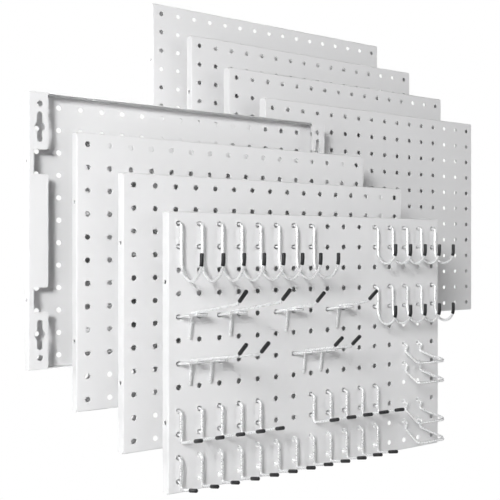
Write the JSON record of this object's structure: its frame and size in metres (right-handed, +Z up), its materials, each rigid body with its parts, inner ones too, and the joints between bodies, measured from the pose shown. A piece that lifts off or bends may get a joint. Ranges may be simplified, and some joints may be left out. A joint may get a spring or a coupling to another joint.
{
  "type": "pegboard tool wall",
  "caption": "Set of folded steel pegboard panels in a staggered stack, the front one hung with J, L, brace and plier-loop wire hooks with soft tips.",
  "frame": {"origin": "centre of the rearmost panel's four wall-screw holes, on the plane of its back flanges", "axes": "+X along the panels to the right, +Y into the wall, +Z up"},
  "size_m": [0.7322, 0.3452, 0.6019],
  "materials": {
    "powder_coat": "satin",
    "plated_wire": "bright zinc plate",
    "vinyl_tip": "dipped vinyl"
  },
  "bodies": {
    "panel_8": {"panel_8": "powder_coat"},
    "panel_7": {"panel_7": "powder_coat"},
    "panel_6": {"panel_6": "powder_coat"},
    "panel_5": {"panel_5": "powder_coat"},
    "panel_4": {"panel_4": "powder_coat"},
    "panel_3": {"panel_3": "powder_coat"},
    "panel_2": {"panel_2": "powder_coat"},
    "panel_1": {"panel_1": "powder_coat"},
    "large_j_hook_1": {"large_j_hook_1": "plated_wire"},
    "large_j_hook_2": {"large_j_hook_2": "plated_wire"},
    "large_j_hook_3": {"large_j_hook_3": "plated_wire"},
    "large_j_hook_4": {"large_j_hook_4": "plated_wire"},
    "large_j_hook_5": {"large_j_hook_5": "plated_wire"},
    "large_j_hook_6": {"large_j_hook_6": "plated_wire"},
    "large_j_hook_7": {"large_j_hook_7": "plated_wire"},
    "large_j_hook_8": {"large_j_hook_8": "plated_wire"},
    "small_j_hook_1": {"small_j_hook_1": "plated_wire"},
    "small_j_hook_2": {"small_j_hook_2": "plated_wire"},
    "small_j_hook_3": {"small_j_hook_3": "plated_wire"},
    "small_j_hook_4": {"small_j_hook_4": "plated_wire"},
    "small_j_hook_5": {"small_j_hook_5": "plated_wire"},
    "small_j_hook_6": {"small_j_hook_6": "plated_wire"},
    "small_j_hook_7": {"small_j_hook_7": "plated_wire"},
    "small_j_hook_8": {"small_j_hook_8": "plated_wire"},
    "small_j_hook_9": {"small_j_hook_9": "plated_wire"},
    "small_j_hook_10": {"small_j_hook_10": "plated_wire"},
    "single_brace_hook_1": {"single_brace_hook_1": "plated_wire"},
    "single_brace_hook_2": {"single_brace_hook_2": "plated_wire"},
    "single_brace_hook_3": {"single_brace_hook_3": "plated_wire"},
    "single_brace_hook_4": {"single_brace_hook_4": "plated_wire"},
    "double_brace_hook_1": {"double_brace_hook_1": "plated_wire"},
    "double_brace_hook_2": {"double_brace_hook_2": "plated_wire"},
    "long_l_hook_1": {"long_l_hook_1": "plated_wire"},
    "long_l_hook_2": {"long_l_hook_2": "plated_wire"},
    "long_l_hook_3": {"long_l_hook_3": "plated_wire"},
    "long_l_hook_4": {"long_l_hook_4": "plated_wire"},
    "long_l_hook_5": {"long_l_hook_5": "plated_wire"},
    "long_l_hook_6": {"long_l_hook_6": "plated_wire"},
    "long_l_hook_7": {"long_l_hook_7": "plated_wire"},
    "long_l_hook_8": {"long_l_hook_8": "plated_wire"},
    "long_l_hook_9": {"long_l_hook_9": "plated_wire"},
    "long_l_hook_10": {"long_l_hook_10": "plated_wire"},
    "short_l_hook_1": {"short_l_hook_1": "plated_wire"},
    "short_l_hook_2": {"short_l_hook_2": "plated_wire"},
    "short_l_hook_3": {"short_l_hook_3": "plated_wire"},
    "short_l_hook_4": {"short_l_hook_4": "plated_wire"},
    "short_l_hook_5": {"short_l_hook_5": "plated_wire"},
    "short_l_hook_6": {"short_l_hook_6": "plated_wire"},
    "short_l_hook_7": {"short_l_hook_7": "plated_wire"},
    "short_l_hook_8": {"short_l_hook_8": "plated_wire"},
    "short_l_hook_9": {"short_l_hook_9": "plated_wire"},
    "short_l_hook_10": {"short_l_hook_10": "plated_wire"},
    "short_l_hook_11": {"short_l_hook_11": "plated_wire"},
    "short_l_hook_12": {"short_l_hook_12": "plated_wire"},
    "pliers_loop_1": {"pliers_loop_1": "plated_wire"},
    "pliers_loop_2": {"pliers_loop_2": "plated_wire"},
    "pliers_loop_3": {"pliers_loop_3": "plated_wire"},
    "pliers_loop_4": {"pliers_loop_4": "plated_wire"}
  },
  "joints": [
    {"name": "panel_7_slide", "type": "slide", "parent": "panel_8", "child": "panel_7", "axis": [0, -1, 0], "range_m": [-0.015, 0.03]},
    {"name": "panel_6_slide", "type": "slide", "parent": "panel_7", "child": "panel_6", "axis": [0, -1, 0], "range_m": [-0.015, 0.03]},
    {"name": "panel_5_slide", "type": "slide", "parent": "panel_6", "child": "panel_5", "axis": [0, -1, 0], "range_m": [-0.015, 0.03]},
    {"name": "panel_4_slide", "type": "slide", "parent": "panel_5", "child": "panel_4", "axis": [0, -1, 0], "range_m": [-0.0127, 0.03]},
    {"name": "panel_3_slide", "type": "slide", "parent": "panel_4", "child": "panel_3", "axis": [0, -1, 0], "range_m": [-0.015, 0.03]},
    {"name": "panel_2_slide", "type": "slide", "parent": "panel_3", "child": "panel_2", "axis": [0, -1, 0], "range_m": [-0.015, 0.03]},
    {"name": "panel_1_slide", "type": "slide", "parent": "panel_2", "child": "panel_1", "axis": [0, -1, 0], "range_m": [-0.015, 0.03]},
    {"name": "large_j_hook_1_swing", "type": "hinge", "parent": "panel_1", "child": "large_j_hook_1", "pos_m": [-0.2681, -0.2243, -0.1574], "axis": [-1, 0, 0], "range_deg": [0, 30]},
    {"name": "small_j_hook_1_swing", "type": "hinge", "parent": "panel_1", "child": "small_j_hook_1", "pos_m": [0.0113, -0.2243, -0.1574], "axis": [-1, 0, 0], "range_deg": [0, 30]},
    {"name": "single_brace_hook_1_swing", "type": "hinge", "parent": "panel_1", "child": "single_brace_hook_1", "pos_m": [-0.2681, -0.2243, -0.259], "axis": [-1, 0, 0], "range_deg": [0, 20]},
    {"name": "double_brace_hook_1_swing", "type": "hinge", "parent": "panel_1", "child": "double_brace_hook_1", "pos_m": [-0.2681, -0.2243, -0.3098], "axis": [-1, 0, 0], "range_deg": [0, 12]},
    {"name": "long_l_hook_1_swing", "type": "hinge", "parent": "panel_1", "child": "long_l_hook_1", "pos_m": [-0.2681, -0.2243, -0.3606], "axis": [-1, 0, 0], "range_deg": [0, 30]},
    {"name": "short_l_hook_1_swing", "type": "hinge", "parent": "panel_1", "child": "short_l_hook_1", "pos_m": [-0.2681, -0.2243, -0.4114], "axis": [-1, 0, 0], "range_deg": [0, 30]},
    {"name": "pliers_loop_1_swing", "type": "hinge", "parent": "panel_1", "child": "pliers_loop_1", "pos_m": [0.0621, -0.2243, -0.3098], "axis": [-1, 0, 0], "range_deg": [0, 20]},
    {"name": "large_j_hook_2_swing", "type": "hinge", "parent": "panel_1", "child": "large_j_hook_2", "pos_m": [-0.2427, -0.2243, -0.1574], "axis": [-1, 0, 0], "range_deg": [0, 30]},
    {"name": "large_j_hook_3_swing", "type": "hinge", "parent": "panel_1", "child": "large_j_hook_3", "pos_m": [-0.2173, -0.2243, -0.1574], "axis": [-1, 0, 0], "range_deg": [0, 30]},
    {"name": "large_j_hook_4_swing", "type": "hinge", "parent": "panel_1", "child": "large_j_hook_4", "pos_m": [-0.1919, -0.2243, -0.1574], "axis": [-1, 0, 0], "range_deg": [0, 30]},
    {"name": "large_j_hook_5_swing", "type": "hinge", "parent": "panel_1", "child": "large_j_hook_5", "pos_m": [-0.1665, -0.2243, -0.1574], "axis": [-1, 0, 0], "range_deg": [0, 30]},
    {"name": "large_j_hook_6_swing", "type": "hinge", "parent": "panel_1", "child": "large_j_hook_6", "pos_m": [-0.1411, -0.2243, -0.1574], "axis": [-1, 0, 0], "range_deg": [0, 30]},
    {"name": "large_j_hook_7_swing", "type": "hinge", "parent": "panel_1", "child": "large_j_hook_7", "pos_m": [-0.1157, -0.2243, -0.1574], "axis": [-1, 0, 0], "range_deg": [0, 30]},
    {"name": "large_j_hook_8_swing", "type": "hinge", "parent": "panel_1", "child": "large_j_hook_8", "pos_m": [-0.0903, -0.2243, -0.1574], "axis": [-1, 0, 0], "range_deg": [0, 30]},
    {"name": "small_j_hook_2_swing", "type": "hinge", "parent": "panel_1", "child": "small_j_hook_2", "pos_m": [0.0367, -0.2243, -0.1574], "axis": [-1, 0, 0], "range_deg": [0, 30]},
    {"name": "small_j_hook_3_swing", "type": "hinge", "parent": "panel_1", "child": "small_j_hook_3", "pos_m": [0.0621, -0.2243, -0.1574], "axis": [-1, 0, 0], "range_deg": [0, 30]},
    {"name": "small_j_hook_4_swing", "type": "hinge", "parent": "panel_1", "child": "small_j_hook_4", "pos_m": [0.0875, -0.2243, -0.1574], "axis": [-1, 0, 0], "range_deg": [0, 30]},
    {"name": "small_j_hook_5_swing", "type": "hinge", "parent": "panel_1", "child": "small_j_hook_5", "pos_m": [0.1129, -0.2243, -0.1574], "axis": [-1, 0, 0], "range_deg": [0, 30]},
    {"name": "small_j_hook_6_swing", "type": "hinge", "parent": "panel_1", "child": "small_j_hook_6", "pos_m": [0.0113, -0.2243, -0.2336], "axis": [-1, 0, 0], "range_deg": [0, 30]},
    {"name": "small_j_hook_7_swing", "type": "hinge", "parent": "panel_1", "child": "small_j_hook_7", "pos_m": [0.0367, -0.2243, -0.2336], "axis": [-1, 0, 0], "range_deg": [0, 30]},
    {"name": "small_j_hook_8_swing", "type": "hinge", "parent": "panel_1", "child": "small_j_hook_8", "pos_m": [0.0621, -0.2243, -0.2336], "axis": [-1, 0, 0], "range_deg": [0, 30]},
    {"name": "small_j_hook_9_swing", "type": "hinge", "parent": "panel_1", "child": "small_j_hook_9", "pos_m": [0.0875, -0.2243, -0.2336], "axis": [-1, 0, 0], "range_deg": [0, 30]},
    {"name": "small_j_hook_10_swing", "type": "hinge", "parent": "panel_1", "child": "small_j_hook_10", "pos_m": [0.1129, -0.2243, -0.2336], "axis": [-1, 0, 0], "range_deg": [0, 30]},
    {"name": "single_brace_hook_2_swing", "type": "hinge", "parent": "panel_1", "child": "single_brace_hook_2", "pos_m": [-0.2173, -0.2243, -0.259], "axis": [-1, 0, 0], "range_deg": [0, 20]},
    {"name": "single_brace_hook_3_swing", "type": "hinge", "parent": "panel_1", "child": "single_brace_hook_3", "pos_m": [-0.1411, -0.2243, -0.259], "axis": [-1, 0, 0], "range_deg": [0, 20]},
    {"name": "single_brace_hook_4_swing", "type": "hinge", "parent": "panel_1", "child": "single_brace_hook_4", "pos_m": [-0.0649, -0.2243, -0.259], "axis": [-1, 0, 0], "range_deg": [0, 20]},
    {"name": "double_brace_hook_2_swing", "type": "hinge", "parent": "panel_1", "child": "double_brace_hook_2", "pos_m": [-0.1157, -0.2243, -0.3098], "axis": [-1, 0, 0], "range_deg": [0, 20]},
    {"name": "long_l_hook_2_swing", "type": "hinge", "parent": "panel_1", "child": "long_l_hook_2", "pos_m": [-0.2427, -0.2243, -0.3606], "axis": [-1, 0, 0], "range_deg": [0, 30]},
    {"name": "long_l_hook_3_swing", "type": "hinge", "parent": "panel_1", "child": "long_l_hook_3", "pos_m": [-0.2173, -0.2243, -0.3606], "axis": [-1, 0, 0], "range_deg": [0, 30]},
    {"name": "long_l_hook_4_swing", "type": "hinge", "parent": "panel_1", "child": "long_l_hook_4", "pos_m": [-0.1919, -0.2243, -0.3606], "axis": [-1, 0, 0], "range_deg": [0, 30]},
    {"name": "long_l_hook_5_swing", "type": "hinge", "parent": "panel_1", "child": "long_l_hook_5", "pos_m": [-0.1665, -0.2243, -0.3606], "axis": [-1, 0, 0], "range_deg": [0, 30]},
    {"name": "long_l_hook_6_swing", "type": "hinge", "parent": "panel_1", "child": "long_l_hook_6", "pos_m": [-0.0903, -0.2243, -0.3606], "axis": [-1, 0, 0], "range_deg": [0, 30]},
    {"name": "long_l_hook_7_swing", "type": "hinge", "parent": "panel_1", "child": "long_l_hook_7", "pos_m": [-0.0649, -0.2243, -0.3606], "axis": [-1, 0, 0], "range_deg": [0, 30]},
    {"name": "long_l_hook_8_swing", "type": "hinge", "parent": "panel_1", "child": "long_l_hook_8", "pos_m": [-0.0395, -0.2243, -0.3606], "axis": [-1, 0, 0], "range_deg": [0, 30]},
    {"name": "long_l_hook_9_swing", "type": "hinge", "parent": "panel_1", "child": "long_l_hook_9", "pos_m": [-0.0141, -0.2243, -0.3606], "axis": [-1, 0, 0], "range_deg": [0, 30]},
    {"name": "long_l_hook_10_swing", "type": "hinge", "parent": "panel_1", "child": "long_l_hook_10", "pos_m": [0.0113, -0.2243, -0.3606], "axis": [-1, 0, 0], "range_deg": [0, 30]},
    {"name": "short_l_hook_2_swing", "type": "hinge", "parent": "panel_1", "child": "short_l_hook_2", "pos_m": [-0.2427, -0.2243, -0.4114], "axis": [-1, 0, 0], "range_deg": [0, 30]},
    {"name": "short_l_hook_3_swing", "type": "hinge", "parent": "panel_1", "child": "short_l_hook_3", "pos_m": [-0.2173, -0.2243, -0.4114], "axis": [-1, 0, 0], "range_deg": [0, 30]},
    {"name": "short_l_hook_4_swing", "type": "hinge", "parent": "panel_1", "child": "short_l_hook_4", "pos_m": [-0.1919, -0.2243, -0.4114], "axis": [-1, 0, 0], "range_deg": [0, 30]},
    {"name": "short_l_hook_5_swing", "type": "hinge", "parent": "panel_1", "child": "short_l_hook_5", "pos_m": [-0.1665, -0.2243, -0.4114], "axis": [-1, 0, 0], "range_deg": [0, 30]},
    {"name": "short_l_hook_6_swing", "type": "hinge", "parent": "panel_1", "child": "short_l_hook_6", "pos_m": [-0.1411, -0.2243, -0.4114], "axis": [-1, 0, 0], "range_deg": [0, 30]},
    {"name": "short_l_hook_7_swing", "type": "hinge", "parent": "panel_1", "child": "short_l_hook_7", "pos_m": [-0.1157, -0.2243, -0.4114], "axis": [-1, 0, 0], "range_deg": [0, 30]},
    {"name": "short_l_hook_8_swing", "type": "hinge", "parent": "panel_1", "child": "short_l_hook_8", "pos_m": [-0.0903, -0.2243, -0.4114], "axis": [-1, 0, 0], "range_deg": [0, 30]},
    {"name": "short_l_hook_9_swing", "type": "hinge", "parent": "panel_1", "child": "short_l_hook_9", "pos_m": [-0.0649, -0.2243, -0.4114], "axis": [-1, 0, 0], "range_deg": [0, 30]},
    {"name": "short_l_hook_10_swing", "type": "hinge", "parent": "panel_1", "child": "short_l_hook_10", "pos_m": [-0.0395, -0.2243, -0.4114], "axis": [-1, 0, 0], "range_deg": [0, 30]},
    {"name": "short_l_hook_11_swing", "type": "hinge", "parent": "panel_1", "child": "short_l_hook_11", "pos_m": [-0.0141, -0.2243, -0.4114], "axis": [-1, 0, 0], "range_deg": [0, 30]},
    {"name": "short_l_hook_12_swing", "type": "hinge", "parent": "panel_1", "child": "short_l_hook_12", "pos_m": [0.0113, -0.2243, -0.4114], "axis": [-1, 0, 0], "range_deg": [0, 30]},
    {"name": "pliers_loop_2_swing", "type": "hinge", "parent": "panel_1", "child": "pliers_loop_2", "pos_m": [0.0621, -0.2243, -0.3352], "axis": [-1, 0, 0], "range_deg": [0, 20]},
    {"name": "pliers_loop_3_swing", "type": "hinge", "parent": "panel_1", "child": "pliers_loop_3", "pos_m": [0.0621, -0.2243, -0.386], "axis": [-1, 0, 0], "range_deg": [0, 20]},
    {"name": "pliers_loop_4_swing", "type": "hinge", "parent": "panel_1", "child": "pliers_loop_4", "pos_m": [0.0621, -0.2243, -0.4114], "axis": [-1, 0, 0], "range_deg": [0, 20]}
  ]
}
